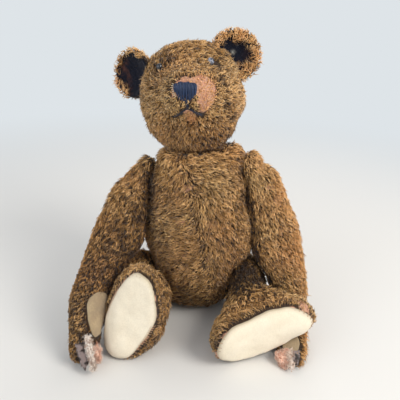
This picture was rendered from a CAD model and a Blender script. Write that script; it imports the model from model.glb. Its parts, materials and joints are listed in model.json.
"""Cloth, pile, felt and stitching of a threadbare, disc-jointed teddy bear, made on its frame.

Each cover is a closed form of worn mohair cloth with a combed pile of curved strands on it. The felt
soles and palms, the torn paws with their stuffing, the stitched face, the boot-button eyes and the cupped
ears are pieces of their own. Lengths are in metres, +Z is up, the bear faces -Y and +X is its own left.
"""
import json
import math

import bmesh
import bpy
import numpy as np
from mathutils import Matrix, Vector, noise
from mathutils.bvhtree import BVHTree

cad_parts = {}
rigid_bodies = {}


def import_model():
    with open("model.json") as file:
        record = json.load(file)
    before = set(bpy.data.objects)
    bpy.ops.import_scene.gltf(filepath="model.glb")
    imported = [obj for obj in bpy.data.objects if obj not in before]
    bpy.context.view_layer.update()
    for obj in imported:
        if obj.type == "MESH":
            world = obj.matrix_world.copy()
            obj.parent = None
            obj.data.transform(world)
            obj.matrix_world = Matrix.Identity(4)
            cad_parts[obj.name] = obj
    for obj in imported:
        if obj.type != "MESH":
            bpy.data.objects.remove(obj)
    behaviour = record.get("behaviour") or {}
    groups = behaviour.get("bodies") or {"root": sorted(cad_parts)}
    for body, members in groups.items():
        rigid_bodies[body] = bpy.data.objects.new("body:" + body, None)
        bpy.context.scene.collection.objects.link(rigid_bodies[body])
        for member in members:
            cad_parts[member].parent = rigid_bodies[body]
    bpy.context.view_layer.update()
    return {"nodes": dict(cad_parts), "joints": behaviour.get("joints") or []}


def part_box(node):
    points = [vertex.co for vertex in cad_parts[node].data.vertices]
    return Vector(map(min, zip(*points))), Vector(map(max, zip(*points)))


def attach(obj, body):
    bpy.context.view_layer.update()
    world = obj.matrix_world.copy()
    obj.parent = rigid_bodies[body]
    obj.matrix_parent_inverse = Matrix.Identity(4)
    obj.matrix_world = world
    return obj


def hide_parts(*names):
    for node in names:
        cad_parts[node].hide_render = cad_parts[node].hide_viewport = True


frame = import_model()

bl_info = {
    "name": "Threadbare Teddy Bear",
    "version": (1, 0, 0),
    "blender": (4, 5, 0),
    "location": "View3D > Sidebar > Teddy Bear",
    "description": "Worn mohair, felt and stitching on the frame of a jointed teddy bear",
    "category": "Add Mesh",
}

MM = 0.001
NODES = frame["nodes"]
JOINTS = {joint["name"]: joint for joint in frame["joints"]}
SIDES = ("left", "right")
GROUND = 0.25 * MM          # the lowest that pile and felt may hang
COMB_SEED = 5               # seed of the noise that the pile is combed by
OUTLINE_BINS = 48           # directions in which a felt's outline is read
FELT_TURNS = 96             # points round a felt
PALM_PROUD = 0.0006         # how far the palm felts stand above the cloth
EAR_GRID, LINING_GRID = 0.0011, 0.0009      # grids that the ears and their linings are remeshed on
EAR_DROP = 0.0016           # how much lower than their solids the ears are set
PLUG_OFFSET, PLUG_DEPTH = 0.0115, 0.017     # place and depth of the plug that fills a joint's pocket
# radius of that plug, and of the place where the two covers rub, by joint
POCKETS = {"neck": (0.014, 0.016), "hip": (0.014, 0.016), "shoulder": (0.011, 0.0125)}
# how each ear is set: the way from its middle to its root, how far it is moved aside, and its size
EAR_SET = {"left": (0.02, -0.0040, 1.0), "right": (-0.02, 0.0010, 0.96)}
# how strongly the pile waves on each cover
WAVES = {"torso": 0.7, "head": 0.42, "arm_left": 0.4, "arm_right": 0.7, "leg_left": 0.6, "leg_right": 0.7}

# each cover, named as its body is: the solids it is made over and the joints at which it meets a neighbour
COVERS = {
    "torso": (("torso_cover", "torso_stuffing"),
              (("neck", -1), ("shoulder_left", -1), ("shoulder_right", -1), ("hip_left", -1),
               ("hip_right", -1))),
    "head": (("head_cover", "head_stuffing"), (("neck", 1),)),
    "arm_left": (("arm_cover_left", "arm_stuffing_left"), (("shoulder_left", 1),)),
    "arm_right": (("arm_cover_right", "arm_stuffing_right"), (("shoulder_right", 1),)),
    "leg_left": (("leg_cover_left", "leg_stuffing_left"), (("hip_left", 1),)),
    "leg_right": (("leg_cover_right", "leg_stuffing_right"), (("hip_right", 1),)),
}
PAD_OF = {"arm_left": "paw_pad_left", "arm_right": "paw_pad_right",
          "leg_left": "foot_pad_left", "leg_right": "foot_pad_right"}
# how each felt is cut against its solid: widened, lengthened, moved across and along in millimetres, turned
# in degrees, and flared towards its far end
FELT_TRIM = {"foot_pad_left": (1.20, 1.12, 0, 1, 0, 0.2), "foot_pad_right": (1.03, 1.30, 0, 0, -5, -0.03),
             "paw_pad_left": (0.9, 0.75, 0, -5, 0, 0), "paw_pad_right": (0.92, 1.04, 1.8, 13.0, 24, 0.5)}
# where the left arm is rubbed thin, in millimetres
RUBBED = ((52, 20, 153), (77, 7, 127), (84, -3, 99), (70, 8, 140))
# where the cloth round a sole is torn: across and along the sole and how far, in millimetres
TORN = {"foot_pad_right": ((-16, -36, 7), (6, -50, 5), (20, 18, 5), (0, 50, 4)),
        "foot_pad_left": ((15, -40, 6), (-2, 48, 7))}
# torn paws: each scrap's kind, top in millimetres, the way it hangs, width, length and how far it swells
TEARS = {"right": (("mauve", (-91.5, -81, 26), (0.16, -0.05, -1), 12, 20, 1.0),
                   ("rose", (-81, -76, 18), (0.12, -0.25, -1), 10, 14, 5.5),
                   ("cotton", (-86.8, -79, 31), (0.03, -0.1, -1), 5.0, 26, 1.6)),
         "left": (("rose", (82, -61, 8), (-0.25, -1, -0.2), 11, 15, 5.0),
                  ("cotton", (87.5, -60, 10), (0.02, -1, -0.2), 7, 19, 2.2),
                  ("mauve", (92.5, -62, 9), (-0.05, -1, -0.3), 10, 12, 0.8))}
# where a cover swells or sinks from its solid: how far, round which place, if any, and within what radius,
# then the fades that hold it to one side, each from 0 at a first value to 1 at a second one of an axis of
# the place ("p"), of the normal ("n") or of the head's own frame ("h")
SWELLS = {
    "torso": ((0.0100, (0.048, 0.008, 0.080), 0.036), (0.0038, (-0.047, 0.008, 0.090), 0.032),
              (0.0095, (0.033, 0.030, 0.165), 0.022, ("n", 2, 0.0, 0.5)),
              (0.0028, (0.044, 0.010, 0.136), 0.020), (0.0035, (-0.042, 0.008, 0.140), 0.022),
              (0.006, (0.047, 0.006, 0.106), 0.024), (0.0025, (0.048, 0.000, 0.074), 0.020)),
    "head": ((-0.0020, None, 0, ("h", 1, -0.004, -0.024), ("h", 0, -0.018, -0.034)),
             (-0.0060, None, 0, ("h", 1, -0.014, -0.030), ("h", 0, 0.018, 0.036))),
    "arm_left": ((0.0085, (0.060, 0.000, 0.078), 0.036), (0.0050, (0.049, 0.030, 0.163), 0.017),
                 (-0.0085, None, 0, ("p", 2, 0.146, 0.160), ("p", 0, 0.054, 0.064)),
                 (0.0045, (0.049, 0.022, 0.148), 0.026, ("n", 0, 0.0, -0.5)),
                 (0.0030, (0.050, 0.012, 0.110), 0.022), (0.0035, (0.063, 0.026, 0.155), 0.013),
                 (0.0018, None, 0, ("n", 0, 0.2, 0.8), ("p", 2, 0.020, 0.040), ("p", 2, 0.118, 0.100))),
    "arm_right": ((-0.012, None, 0, ("p", 2, 0.122, 0.152), ("p", 0, -0.040, -0.056)),
                  (-0.0042, (-0.107, -0.072, 0.030), 0.034), (0.0052, (-0.056, 0.005, 0.088), 0.038),
                  (0.0035, (-0.058, -0.016, 0.086), 0.022),
                  (0.0026, None, 0, ("n", 0, -0.2, -0.8), ("p", 2, 0.020, 0.040), ("p", 2, 0.118, 0.090))),
    "leg_right": ((0.0085, (-0.028, -0.034, 0.048), 0.032), (0.006, (-0.066, -0.066, 0.004), 0.030),
                  (0.006, (-0.054, 0.016, 0.052), 0.028)),
    "leg_left": ((0.012, (0.055, 0.004, 0.060), 0.036, ("p", 0, 0.066, 0.054)),
                 (0.006, (0.104, -0.052, 0.037), 0.026), (0.0065, (0.026, -0.066, 0.030), 0.030)),
}


def rgb(red, green, blue):
    """A display colour, 0 to 255 a channel, as the linear colour that a socket takes."""
    parts = [channel / 255 for channel in (red, green, blue)]
    return tuple(c / 12.92 if c <= 0.04045 else ((c + 0.055) / 1.055) ** 2.4 for c in parts)


def colour_prop(name, description, *display):
    return bpy.props.FloatVectorProperty(name=name, description=description, subtype='COLOR', size=3,
                                         min=0, max=1, default=rgb(*display))


def length_prop(name, description, millimetres):
    return bpy.props.FloatProperty(name=name, description=description, default=millimetres * MM,
                                   subtype='DISTANCE', unit='LENGTH', precision=5)


def number_prop(name, description, default, top=1.0):
    """A plain number from 0 up."""
    return bpy.props.FloatProperty(name=name, description=description, default=default, min=0.0, max=top)


def angle_prop(name, description, degrees):
    return bpy.props.FloatProperty(name=name, description=description, subtype='ANGLE',
                                   default=math.radians(degrees))


def power_prop(name, description, watts):
    return bpy.props.FloatProperty(name=name, description=description, default=watts, subtype='POWER',
                                   unit='POWER')


# ---------------------------------------------------------------- settings

class PileSettings(bpy.types.PropertyGroup):
    length: length_prop("Pile length", "Length of a combed strand", 7.0)
    width: length_prop("Strand width", "Width of a strand at its middle", 0.82)
    per_area: number_prop("Strands per area", "Strands on a square metre of unworn cloth", 800000, 5e6)
    lift: angle_prop("Lift", "Angle at which a strand leaves the cloth", 14)
    tousle: number_prop("Tousle", "How far single strands stray from the combed direction", 0.17)
    lock: length_prop("Lock size", "Size of the locks that the strands gather in", 2.5)
    gather: number_prop("Gather", "How strongly strands lean to the middle of their lock", 1.0, 3.0)
    stray: number_prop("Lock stray", "How far whole locks stray from the combed direction", 0.36, 2.0)
    contrast: number_prop("Lock contrast", "How much locks differ in shade", 0.84, 2.0)
    dark: colour_prop("Root colour", "Pile at its roots and in its hollows", 60, 40, 22)
    middle: colour_prop("Pile colour", "Most of the pile", 178, 136, 78)
    light: colour_prop("Tip colour", "Sunned tips of the pile", 240, 198, 134)
    gold: colour_prop("Rim colour", "Bleached fringe round the ears", 252, 216, 160)


class ClothSettings(bpy.types.PropertyGroup):
    grid: length_prop("Grid", "Size of the grid that a cover is remeshed on", 2.2)
    ground: colour_prop("Ground cloth", "Cloth under the pile", 66, 46, 28)
    bare: colour_prop("Bare cloth", "Cloth where the pile has worn away", 220, 168, 138)
    card: colour_prop("Card", "Card of the joint discs", 150, 118, 78)
    wire: colour_prop("Wire", "Drawn wire of the pins", 150, 146, 140)


class FeltSettings(bpy.types.PropertyGroup):
    sole: colour_prop("Sole", "Felt of the soles", 250, 238, 214)
    palm: colour_prop("Palm", "Soiled felt of the palms", 160, 138, 108)
    soil: colour_prop("Soil", "Dirt rubbed into the felt", 196, 172, 132)
    proud: length_prop("Proud", "How far the felt stands above the cloth", 0.7)
    stitches: bpy.props.IntProperty(name="Stitches", description="Stitches round a sole", default=66, min=3)


class FaceSettings(bpy.types.PropertyGroup):
    rise: angle_prop("Face rise", "How far the snout points up", 9.5)
    thread: colour_prop("Nose thread", "Satin thread of the nose and mouth", 16, 37, 69)
    button: colour_prop("Button", "Boot-button lacquer", 16, 15, 16)
    bloom: colour_prop("Bloom", "Clouded lacquer of the worn eye", 128, 134, 150)
    lining: colour_prop("Ear lining", "Worn cloth inside the ears", 13, 17, 36)
    rust: colour_prop("Rust", "Faded strips of the ear lining", 86, 54, 46)


class StageSettings(bpy.types.PropertyGroup):
    camera: bpy.props.FloatVectorProperty(name="Camera", description="Place of the camera", size=3,
                                          subtype='TRANSLATION', default=(0.0034, -0.3866, 0.283))
    pitch: angle_prop("Pitch", "How far the camera looks down", 22)
    roll: angle_prop("Roll", "How far the camera leans", 2.2)
    lens: number_prop("Lens", "Focal length on a 36 mm sensor, in millimetres", 40.5, 400.0)
    floor: colour_prop("Floor", "Plain pale floor", 228, 226, 222)
    backdrop: colour_prop("Backdrop", "Pale backdrop that the floor fades into", 222, 228, 232)
    key: power_prop("Key light", "Power of the key light", 9.6)
    fill: power_prop("Fill light", "Power of the fill light", 3.0)
    sky: number_prop("Sky", "Strength of the even light from all round", 0.6, 5.0)


# ---------------------------------------------------------------- small tools

def unit(vector):
    vector = np.asarray(vector, float)
    return vector / np.maximum(np.linalg.norm(vector, axis=-1, keepdims=True), 1e-9)


def step(low, high, value):
    """0 at a low value, rising smoothly to 1 at a high one."""
    t = np.clip((np.asarray(value, float) - low) / (high - low), 0, 1)
    return t * t * (3 - 2 * t)


def mix(a, b, share):
    """Values or vectors mixed by a share of the second at each point."""
    share = np.asarray(share, float)
    if share.ndim == 1 and (np.ndim(b) > 1 or np.ndim(a) == 1 and np.size(a) == 3):
        share = share[:, None]
    return np.asarray(a, float) * (1 - share) + np.asarray(b, float) * share


def ripple(points, size, seed=0):
    """Smooth noise from about -1 to 1 at each point, with lumps of this size."""
    shift = Vector((3.1 * seed, 1.7 * seed, -2.3 * seed))
    return np.array([noise.noise(Vector(p) / size + shift) for p in points])


def swirl(points, size, seed=0):
    """A smoothly varying direction at each point."""
    noise.seed_set(COMB_SEED)       # noise_vector draws its offsets from the clock until a seed is set
    shift = Vector((1.3 * seed, -2.9 * seed, 2.1 * seed))
    return np.array([noise.noise_vector(Vector(p) / size + shift) for p in points])


def spot(points, centre, radius):
    """1 at a centre, falling to 0 at the radius."""
    return step(radius, 0, np.linalg.norm(points - np.asarray(centre), axis=1))


def spotted(value, points, *spots):
    """A value with spots added, each an amount, a centre and a radius."""
    for amount, centre, radius in spots:
        value = value + amount * spot(points, centre, radius)
    return value


def middle(node):
    """The middle of a node's box."""
    low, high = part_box(node)
    return (np.array(low) + np.array(high)) / 2


def node_points(node):
    mesh = NODES[node].data
    points = np.empty(len(mesh.vertices) * 3)
    mesh.vertices.foreach_get("co", points)
    return points.reshape(-1, 3)


def mesh_points(obj):
    mesh = obj.data
    points, normals = np.empty(len(mesh.vertices) * 3), np.empty(len(mesh.vertices) * 3)
    mesh.vertices.foreach_get("co", points)
    mesh.vertices.foreach_get("normal", normals)
    return points.reshape(-1, 3), normals.reshape(-1, 3)


def move_points(obj, points):
    obj.data.vertices.foreach_set("co", np.asarray(points, np.float32).ravel())
    obj.data.update()


def new_object(name, data):
    obj = bpy.data.objects.new(name, data)
    bpy.context.scene.collection.objects.link(obj)
    return obj


def mesh_object(name, points, edges, faces):
    mesh = bpy.data.meshes.new(name)
    mesh.from_pydata([tuple(point) for point in points], edges, faces)
    return new_object(name, mesh)


def finished(obj, **modifiers):
    """Turns an object and its modifiers, and these, into a plain mesh of the same name."""
    for kind, settings in modifiers.items():
        modifier = obj.modifiers.new(kind.lower(), kind)
        for key, value in settings.items():
            setattr(modifier, key, value)
    bpy.context.view_layer.update()
    depsgraph = bpy.context.evaluated_depsgraph_get()
    mesh = bpy.data.meshes.new_from_object(obj.evaluated_get(depsgraph), preserve_all_data_layers=True,
                                           depsgraph=depsgraph)
    name = obj.name
    bpy.data.objects.remove(obj, do_unlink=True)
    mesh.name = name
    return new_object(name, mesh)


def attributes(obj, **fields):
    """Stores a number or a vector for each of an object's points, under each name."""
    for name, values in fields.items():
        values = np.asarray(values, np.float32)
        kind, key = ('FLOAT_VECTOR', "vector") if values.ndim == 2 else ('FLOAT', "value")
        obj.data.attributes.new(name, kind, 'POINT').data.foreach_set(key, values.ravel())


def belongs(obj, body, slot, *nodes, look=None):
    """Sets an object on its body, with its finish and the solids that it stands for."""
    if look:
        obj.data.materials.clear()
        obj.data.materials.append(look)
    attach(obj, body)
    if nodes:
        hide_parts(*nodes)


def surface(obj):
    """A search tree over an object's faces."""
    return BVHTree.FromObject(obj, bpy.context.evaluated_depsgraph_get())


def turned_to(direction):
    """The turn that takes +Z to a direction."""
    return Vector((0, 0, 1)).rotation_difference(Vector(direction)).to_matrix().to_4x4()


def plate_frame(node, under):
    """The frame of a thin piece that lies on another: centre, short axis, long axis and outward direction."""
    points, below = node_points(node), node_points(under)
    centre = points.mean(axis=0)
    away_from = below[np.linalg.norm(below - centre, axis=1) < 0.035].mean(axis=0)
    _, _, axes = np.linalg.svd(points - centre, full_matrices=False)
    along, _, out = axes
    if np.dot(out, centre - away_from) < 0:
        out = -out
    return centre, np.cross(along, out), along, out


def trimmed(x, y, trim):
    """Places in the plane of a felt's solid, moved to where the cut felt has them."""
    wide, long, aside, down, turn, flare = trim
    x, y = x * wide * (1 + flare * np.clip(y / 0.04, -1, 1)), y * long
    c, s = math.cos(math.radians(turn)), math.sin(math.radians(turn))
    return c * x - s * y + aside * MM, s * x + c * y + down * MM


def outline(points, centre, across, along, count):
    """How far a plate reaches in each of some directions in its plane."""
    q = points - centre
    x, y = q @ across, q @ along
    angle, radius = np.arctan2(y, x), np.hypot(x, y)
    bins = np.floor((angle + math.pi) / (2 * math.pi) * count).astype(int) % count
    reach = np.array([radius[bins == k].max() if (bins == k).any() else 0.0 for k in range(count)])
    met = reach > 0.72 * np.max([np.roll(reach, k) for k in (-2, -1, 1, 2)], axis=0)
    reach = np.interp(np.arange(count), np.flatnonzero(met), reach[met], period=count)
    smooth = (reach + np.roll(reach, 1) + np.roll(reach, -1)) / 3
    angles = -math.pi + (np.arange(count) + 0.5) * 2 * math.pi / count
    return angles, smooth


def eased(ring, rounds):
    """Values round a ring, each drawn towards its two neighbours."""
    for _ in range(rounds):
        ring = (np.roll(ring, 1) + np.roll(ring, -1) + 2 * np.array(ring)) / 4
    return ring


def head_axes():
    """The head's own left, up and forward directions."""
    rise = bpy.context.scene.bear_face.rise
    forward = unit((-0.03, -math.cos(rise), math.sin(rise)))
    across = middle("eye_left") - middle("eye_right")
    across = unit(across - np.dot(across, forward) * forward)
    return across, np.cross(forward, across), forward


def head_frame(points):
    """Points as distances across, up and forward from the middle of the nose."""
    q = points - middle("nose_stitching")
    return [q @ axis for axis in head_axes()]


# ---------------------------------------------------------------- node trees

class Tree:
    """Adds nodes to a tree, with each input given as a value or as another node's socket."""

    def __init__(self, tree):
        self.tree = tree

    def add(self, kind, inputs=None, **settings):
        made = self.tree.nodes.new(kind)
        for key, value in settings.items():
            setattr(made, key, value)
        for key, value in (inputs or {}).items():
            socket = made.inputs[key]
            if isinstance(value, bpy.types.NodeSocket):
                self.link(value, socket)
            elif socket.type == 'RGBA' and len(value) == 3:
                socket.default_value = (*value, 1.0)
            else:
                socket.default_value = value
        return made

    def link(self, value, socket):
        self.tree.links.new(value, socket)

    def math(self, operation, *values):
        return self.add('ShaderNodeMath', dict(enumerate(values)), operation=operation).outputs[0]

    def vector(self, operation, *values):
        return self.add('ShaderNodeVectorMath', dict(enumerate(values)), operation=operation).outputs[0]

    def scaled(self, vector, factor):
        return self.add('ShaderNodeVectorMath', {0: vector, "Scale": factor}, operation='SCALE').outputs[0]

    def blend(self, factor, a, b, kind='MIX'):
        return self.add('ShaderNodeMix', {"Factor": factor, 6: a, 7: b}, data_type='RGBA',
                        blend_type=kind).outputs[2]

    def ramp(self, factor, *stops):
        made = self.add('ShaderNodeValToRGB', {"Fac": factor})
        band = made.color_ramp
        while len(band.elements) < len(stops):
            band.elements.new(0.5)
        for element, (place, colour) in zip(band.elements, stops):
            element.position = place
            element.color = (*colour, 1.0) if np.ndim(colour) else (colour, colour, colour, 1.0)
        return made.outputs[0]

    def range(self, value, low, high, **more):
        more = {key.replace("_", " "): end for key, end in more.items()}
        return self.add('ShaderNodeMapRange', {"Value": value, "From Min": low, "From Max": high,
                                               **more}).outputs[0]

    def attribute(self, name):
        return self.add('ShaderNodeAttribute', attribute_name=name).outputs["Fac"]

    def place(self):
        return self.add('ShaderNodeTexCoord').outputs["Object"]

    def noise(self, scale, detail, place=None, output="Fac", **more):
        place = self.place() if place is None else place
        return self.add('ShaderNodeTexNoise', {"Vector": place, "Scale": scale,
                                               "Detail": detail, **more}).outputs[output]

    def split(self, vector):
        return self.add('ShaderNodeSeparateXYZ', {0: vector}).outputs

    def joined(self, x, y, z):
        return self.add('ShaderNodeCombineXYZ', {0: x, 1: y, 2: z}).outputs[0]


class Look(Tree):
    """A new Principled material: constants are set on the shader's own sockets."""

    def __init__(self, name, **constants):
        self.material = bpy.data.materials.new(name)
        self.material.use_nodes = True
        super().__init__(self.material.node_tree)
        self.shader = self.tree.nodes["Principled BSDF"]
        for key, value in constants.items():
            socket = self.shader.inputs[key.replace("_", " ")]
            socket.default_value = (*value, 1.0) if np.ndim(value) and len(value) == 3 else value

    def bump(self, height, strength, distance):
        made = self.add('ShaderNodeBump', {"Height": height, "Strength": strength, "Distance": distance})
        self.link(made.outputs[0], self.shader.inputs["Normal"])

    def painted(self, colour):
        """The material, with its colour led to the shader."""
        self.link(colour, self.shader.inputs["Base Color"])
        return self.material


def darker(colour, share):
    return [c * share for c in colour]


def group_tree(name, kind, inputs, outputs):
    """A node group with named sockets, and its input and output nodes."""
    tree = bpy.data.node_groups.new(name, kind)
    for label, socket_type, default in inputs:
        socket = tree.interface.new_socket(label, in_out='INPUT', socket_type="NodeSocket" + socket_type)
        if default is not None:
            socket.default_value = default
    for label, socket_type in outputs:
        tree.interface.new_socket(label, in_out='OUTPUT', socket_type="NodeSocket" + socket_type)
    return Tree(tree), tree.nodes.new('NodeGroupInput'), tree.nodes.new('NodeGroupOutput')


def weave_group():
    """A plain weave of crossing threads: height and thread shade."""
    made = bpy.data.node_groups.get("cloth_weave")
    if made:
        return made
    t, given, result = group_tree("cloth_weave", 'ShaderNodeTree', [("Threads per metre", 'Float', 1300.0)],
                                  [("Height", 'Float'), ("Shade", 'Float')])
    place = t.place()
    wobble = t.noise(220.0, 2.0, place, "Color")
    x, y, z = t.split(t.scaled(t.vector('ADD', place, t.scaled(wobble, 0.0009)), given.outputs[0]))
    warp, weft = t.math('SINE', t.math('ADD', x, t.math('MULTIPLY', y, 0.4))), t.math('SINE', z)
    fluff = t.noise(2600.0, 3.0, place)
    height = t.math('MAXIMUM', warp, weft)
    t.link(t.math('ADD', t.math('MULTIPLY', height, 0.5), fluff), result.inputs[0])
    t.link(t.math('MULTIPLY_ADD', t.math('MULTIPLY', warp, weft), 0.25, fluff), result.inputs[1])
    return t.tree


def soil_group():
    """Uneven soiling: a mask of blotches with finer specks in them."""
    made = bpy.data.node_groups.get("soiling")
    if made:
        return made
    t, given, result = group_tree("soiling", 'ShaderNodeTree', [
        ("Blotches per metre", 'Float', 60.0), ("Amount", 'Float', 0.4), ("Shift", 'Float', 0.0)],
        [("Mask", 'Float')])
    moved = t.vector('ADD', t.place(), given.outputs["Shift"])
    blotch = t.noise(given.outputs[0], 4.0, moved, Roughness=0.62)
    both = t.math('ADD', t.math('MULTIPLY', blotch, 0.75), t.math('MULTIPLY', t.noise(900.0, 2.0, moved), 0.25))
    t.link(t.range(both, 0.42, 0.62, To_Min=0.0, To_Max=given.outputs["Amount"]), result.inputs[0])
    return t.tree


def cloth_material(settings, pile):
    """Mohair cloth: dark under the pile, pinkish where it is bare."""
    t = Look("mohair_cloth", Roughness=0.95, Sheen_Weight=0.15, Sheen_Roughness=0.6, Specular_IOR_Level=0.2)
    weave = t.add('ShaderNodeGroup', node_tree=weave_group()).outputs
    soil = t.add('ShaderNodeGroup', {"Blotches per metre": 90.0, "Amount": 0.7}, node_tree=soil_group())
    bare = t.ramp(weave["Shade"], (0.3, darker(settings.bare, 0.62)), (0.75, settings.bare))
    bare = t.blend(soil.outputs[0], bare, rgb(172, 112, 84))
    rubbed = t.ramp(t.noise(480.0, 3.0, Distortion=0.8), (0.48, 0.0), (0.75, 0.5))
    bare = t.blend(rubbed, bare, rgb(244, 204, 174))
    bare = t.blend(t.attribute("amber"), bare, rgb(236, 172, 120))
    ground = t.ramp(weave["Shade"], (0.25, darker(pile.dark, 0.5)), (0.8, settings.ground))
    edge = t.math('MULTIPLY', t.math('SUBTRACT', t.noise(420.0, 3.0), 0.5), 0.7)
    shown = t.range(t.math('ADD', t.attribute("bald"), edge), 0.3, 0.6)
    t.bump(weave["Height"], 0.5, 0.0004)
    return t.painted(t.blend(shown, ground, bare))


def pile_material(name, colours, lining=None):
    """Strands: dark at the root, sunned at the tip, each of its own shade."""
    t = Look(name, Roughness=0.62, Sheen_Weight=0.2, Sheen_Roughness=0.4, Specular_IOR_Level=0.3)
    value = t.math('ADD', t.math('MULTIPLY', t.attribute("shade"), 0.74),
                   t.math('MULTIPLY_ADD', t.attribute("along"), 0.38, -0.05))
    base = t.ramp(value, *zip((0.06, 0.42, 0.76, 1.0), map(tuple, colours)))
    rusty = t.blend(1.0, base, rgb(252, 226, 210), kind='MULTIPLY')
    colour = t.blend(t.attribute("warm"), base, rusty)
    return t.painted(colour if lining is None else t.blend(t.attribute("ink"), colour, lining))


def felt_material(name, colour, soil_colour, amount, shift):
    """Felt: matted fibres, rubbed in dirt and a darker, thinner edge."""
    t = Look(name, Roughness=0.98, Sheen_Weight=0.25, Sheen_Roughness=0.7, Specular_IOR_Level=0.15)
    fibre = t.noise(1500.0, 4.0, Distortion=1.2)
    clumps = t.add('ShaderNodeTexVoronoi', {"Vector": t.place(), "Scale": 700.0}, feature='F1')
    soil = t.add('ShaderNodeGroup', {"Blotches per metre": 45.0, "Amount": amount, "Shift": shift},
                 node_tree=soil_group())
    tone = t.ramp(fibre, (0.3, darker(colour, 0.86)), (0.62, colour))
    dirty = t.blend(soil.outputs[0], tone, soil_colour)
    t.bump(t.math('ADD', fibre, t.math('MULTIPLY', clumps.outputs["Distance"], 0.5)), 0.45, 0.0003)
    return t.painted(t.blend(t.attribute("rim"), dirty, darker(soil_colour, 0.7)))


def thread_material(name, colour, sheen=0.12, roughness=0.38):
    """Thread: fine twisted plies across its length, faded here and there."""
    t = Look(name, Roughness=roughness, Sheen_Weight=sheen, Sheen_Roughness=0.3, Specular_IOR_Level=0.5)
    ply = t.add('ShaderNodeTexWave', {"Vector": t.place(), "Scale": 900.0, "Distortion": 1.5, "Detail": 1.0},
                bands_direction='DIAGONAL')
    pale = [min(1.0, c * 1.5 + 0.004) for c in colour]
    t.bump(ply.outputs["Fac"], 0.35, 0.00012)
    return t.painted(t.ramp(t.noise(260.0, 3.0), (0.35, colour), (0.75, pale)))


# ---------------------------------------------------------------- covers

def cover_form(name, nodes, joints, grid, rounds=8):
    """One closed, smooth form over some solids, with its joint pockets filled."""
    bm = bmesh.new()
    for node in nodes:
        bm.from_mesh(NODES[node].data)
    bmesh.ops.remove_doubles(bm, verts=bm.verts, dist=1e-6)
    for joint, side in joints:
        axis = Vector(JOINTS[joint]["axis"]).normalized() * side
        radius, _ = POCKETS[joint.split("_")[0]]
        place = Matrix.Translation(Vector(JOINTS[joint]["pos_m"]) + axis * PLUG_OFFSET)
        bmesh.ops.create_cone(bm, cap_ends=True, segments=24, radius1=radius, radius2=radius, depth=PLUG_DEPTH,
                              matrix=place @ turned_to(axis))
    mesh = bpy.data.meshes.new(name)
    bm.to_mesh(mesh)
    bm.free()
    obj = finished(new_object(name, mesh), REMESH={"mode": 'VOXEL', "voxel_size": grid})
    keep_outside(obj)
    obj = finished(obj, SMOOTH={"factor": 0.5, "iterations": rounds})
    obj.data.shade_smooth()
    return obj


def keep_outside(obj):
    """Removes the shells inside a form: only the one that reaches furthest stays."""
    bm = bmesh.new()
    bm.from_mesh(obj.data)
    todo = [max(bm.verts, key=lambda vert: vert.co.x)]
    kept = set(todo)
    while todo:
        for edge in todo.pop().link_edges:
            for vert in edge.verts:
                if vert not in kept:
                    kept.add(vert)
                    todo.append(vert)
    bmesh.ops.delete(bm, geom=[vert for vert in bm.verts if vert not in kept], context='VERTS')
    bm.to_mesh(obj.data)
    bm.free()


def joint_mask(points, joints):
    """1 where a cover touches its neighbour at a joint, and falling to 0 round it."""
    worn = np.zeros(len(points))
    for joint, _ in joints:
        axis = unit(JOINTS[joint]["axis"])
        offset = points - np.array(JOINTS[joint]["pos_m"])
        height = offset @ axis
        radius = np.linalg.norm(offset - np.outer(height, axis), axis=1)
        _, reach = POCKETS[joint.split("_")[0]]
        worn = np.maximum(worn, step(reach, reach * 0.8, radius) * step(0.008, 0.005, np.abs(height)))
    return worn


def flat(direction, normals):
    """A direction laid down onto the surface."""
    direction = np.broadcast_to(np.asarray(direction, float), normals.shape)
    return unit(direction - (direction * normals).sum(axis=1, keepdims=True) * normals)


def near_path(points, path, radius):
    """1 along a path of points, falling to 0 at the radius."""
    found = np.zeros(len(points))
    for a, b in zip(path[:-1], path[1:]):
        a, b = np.asarray(a), np.asarray(b)
        share = np.clip((points - a) @ (b - a) / np.dot(b - a, b - a), 0, 1)
        gap = np.linalg.norm(points - a - np.outer(share, b - a), axis=1)
        found = np.maximum(found, step(radius, radius * 0.4, gap))
    return found


def torso_comb(p, n):
    """The torso's pile parts along the seam down its front."""
    x, _, z = p.T
    front = step(0.1, 0.7, -n[:, 1])
    seam_gap = x - 0.0034 - 0.24 * (0.107 - z)
    high = step(0.115, 0.15, z)
    left = mix((-1.0, 0, -0.32), (-0.25, 0, -1.0), high)
    right = mix((0.35, 0, -1.0), (0.8, 0, -0.45), high)
    comb = mix(left, right, step(-0.008, 0.008, seam_gap))
    comb = mix(np.broadcast_to((0, 0.1, -1.0), comb.shape), comb, front)
    seam = np.exp(-(seam_gap / 0.0022) ** 2) * front * step(-0.4, 0.4, ripple(p, 0.012, 6))
    bald = 0.6 * step(0.42, 0.62, ripple(p, 0.013, 3)) * front
    shade = 0.10 - 0.09 * seam + 0.06 * ripple(p, 0.025, 4) - 0.30 * step(0.06, 0.012, z)
    shade = spotted(shade, p, (-0.16, (-0.036, 0.006, 0.137), 0.020), (-0.12, (0.005, -0.002, 0.140), 0.012),
                    (0.26, (0.052, 0.000, 0.082), 0.010))
    shade = shade - 0.40 * step(0.6, 0.92, np.abs(n[:, 0])) * step(0.085, 0.10, z) * step(0.165, 0.15, z)
    warm = 0.35 + 0.45 * ripple(p, 0.035, 5) + 0.35 * step(0.02, 0.04, x) * step(0.08, 0.04, z)
    return dict(nap=comb, pile=1 - 0.15 * seam, reach=1.0 - 0.25 * seam, bald=bald, shade=shade, warm=warm)


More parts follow.
